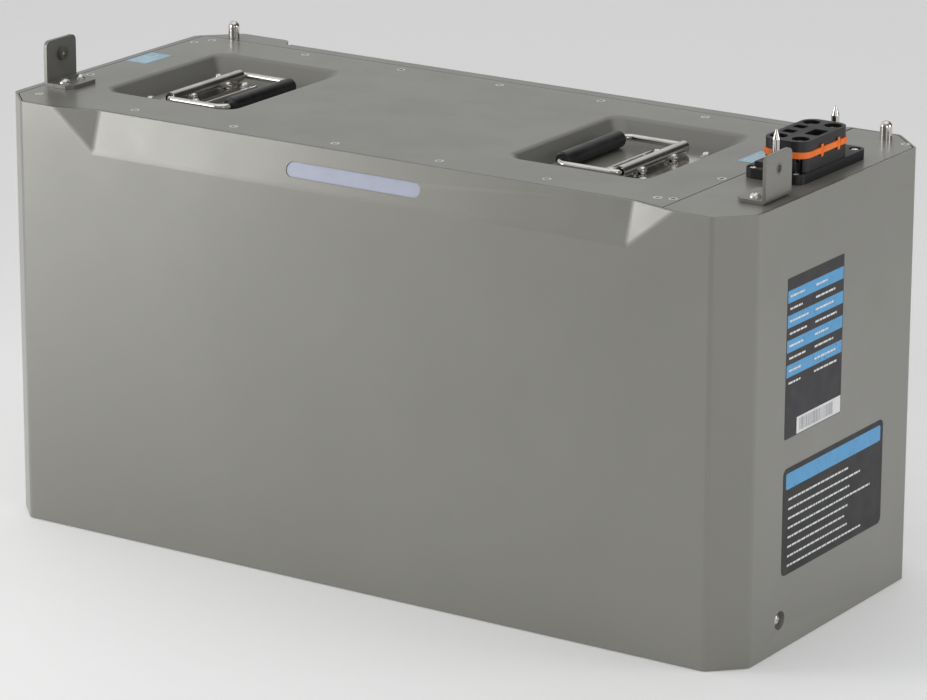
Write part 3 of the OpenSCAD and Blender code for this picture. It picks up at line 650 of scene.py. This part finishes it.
def pale_floor():
    data = bpy.data.meshes.new("floor")
    corners = [(FLOOR_HALF * x, FLOOR_HALF * y, 0) for x, y in ((-1, -1), (1, -1), (1, 1), (-1, 1))]
    data.from_pydata(corners, [], [(0, 1, 2, 3)])
    floor = bpy.data.objects.new("floor", data)
    bpy.context.scene.collection.objects.link(floor)
    floor.location.z = -FLOOR_DROP
    material, tree, shader = new_material("floor_paper")
    mottle = noise(tree, object_space(tree), 40.0, 3.0)
    tree.links.new(
        blend_colours(tree, mottle, (0.86, 0.86, 0.86), (0.88, 0.88, 0.88)),
        shader.inputs["Base Color"],
    )
    shader.inputs["Roughness"].default_value = 0.9
    shader.inputs["Emission Color"].default_value = (1.0, 1.0, 1.0, 1.0)
    shader.inputs["Emission Strength"].default_value = 0.12
    data.materials.append(material)


# Soft lights of the surroundings: direction and strength
SKY_LIGHTS = (
    ((-0.55, 0.835, 0.3), 0.57),
    ((0.0, 0.0, 1.0), 0.92),
    ((-0.9, -0.3, 0.25), 0.70),
    ((0.2, -0.95, 0.2), 0.22),
    ((0.95, -0.1, 0.2), 0.05),
)
SKY_BASE = 0.04
SKY_REACH = (math.cos(math.radians(50.0)), math.cos(math.radians(22.5)))


def sky_light(tree, ray, direction, strength):
    """A soft round patch of light around one direction."""
    dot = tree.nodes.new("ShaderNodeVectorMath")
    dot.operation = "DOT_PRODUCT"
    dot.inputs[1].default_value = Vector(direction).normalized()
    tree.links.new(ray, dot.inputs[0])
    patch = tree.nodes.new("ShaderNodeMapRange")
    patch.interpolation_type = "SMOOTHSTEP"
    patch.inputs["From Min"].default_value = SKY_REACH[0]
    patch.inputs["From Max"].default_value = SKY_REACH[1]
    patch.inputs["To Max"].default_value = strength
    tree.links.new(dot.outputs["Value"], patch.inputs["Value"])
    return patch.outputs["Result"]


def studio():
    world = bpy.data.worlds.new("studio")
    bpy.context.scene.world = world
    world.use_nodes = True
    tree = world.node_tree
    background = next(n for n in tree.nodes if n.type == "BACKGROUND")
    background.inputs["Color"].default_value = (1.0, 1.0, 1.0, 1.0)
    ray = tree.nodes.new("ShaderNodeTexCoord").outputs["Generated"]
    total = None
    for direction, strength in SKY_LIGHTS:
        add = tree.nodes.new("ShaderNodeMath")
        tree.links.new(sky_light(tree, ray, direction, strength), add.inputs[0])
        add.inputs[1].default_value = SKY_BASE
        if total:
            tree.links.new(total, add.inputs[1])
        total = add.outputs["Value"]
    tree.links.new(total, background.inputs["Strength"])
    area_light("key", (-0.85, -0.85, 0.45), (0.4, 0.8), 5.3, (-0.25, -0.1, 0.15))
    area_light("side", (1.3, -0.9, 0.55), (0.5, 0.7), 2.6, (0.3, -0.1, 0.2))
    area_light("end", (1.2, 0.3, 0.5), (0.5, 0.5), 2.4, (0.325, 0.0, 0.2))


CAMERA_TURN = (33.351, 16.773, 0.173)  # azimuth, elevation and roll in degrees
CAMERA_TARGET = (0.0065, 0.0, 0.1515)
CAMERA_DISTANCE = 3.4307
CAMERA_LENS = 177.11


def photo_camera():
    """A camera at the photo's viewing angle, without shift."""
    azimuth, elevation, roll = map(math.radians, CAMERA_TURN)
    forward = Vector(
        (
            -math.sin(azimuth) * math.cos(elevation),
            math.cos(azimuth) * math.cos(elevation),
            -math.sin(elevation),
        )
    )
    right = forward.cross(Vector((0, 0, 1))).normalized()
    up = right.cross(forward)
    turned_right = right * math.cos(roll) + up * math.sin(roll)
    turned_up = up * math.cos(roll) - right * math.sin(roll)
    data = bpy.data.cameras.new("camera")
    data.sensor_width = 36.0
    data.lens = CAMERA_LENS
    data.clip_start, data.clip_end = 0.1, 60.0
    camera = bpy.data.objects.new("camera", data)
    bpy.context.scene.collection.objects.link(camera)
    place = Vector(CAMERA_TARGET) - forward * CAMERA_DISTANCE
    camera.matrix_world = Matrix(
        (
            (turned_right.x, turned_up.x, -forward.x, place.x),
            (turned_right.y, turned_up.y, -forward.y, place.y),
            (turned_right.z, turned_up.z, -forward.z, place.z),
            (0, 0, 0, 1),
        )
    )
    bpy.context.scene.camera = camera


pale_floor()
studio()
photo_camera()
bpy.context.scene.view_settings.view_transform = "Standard"
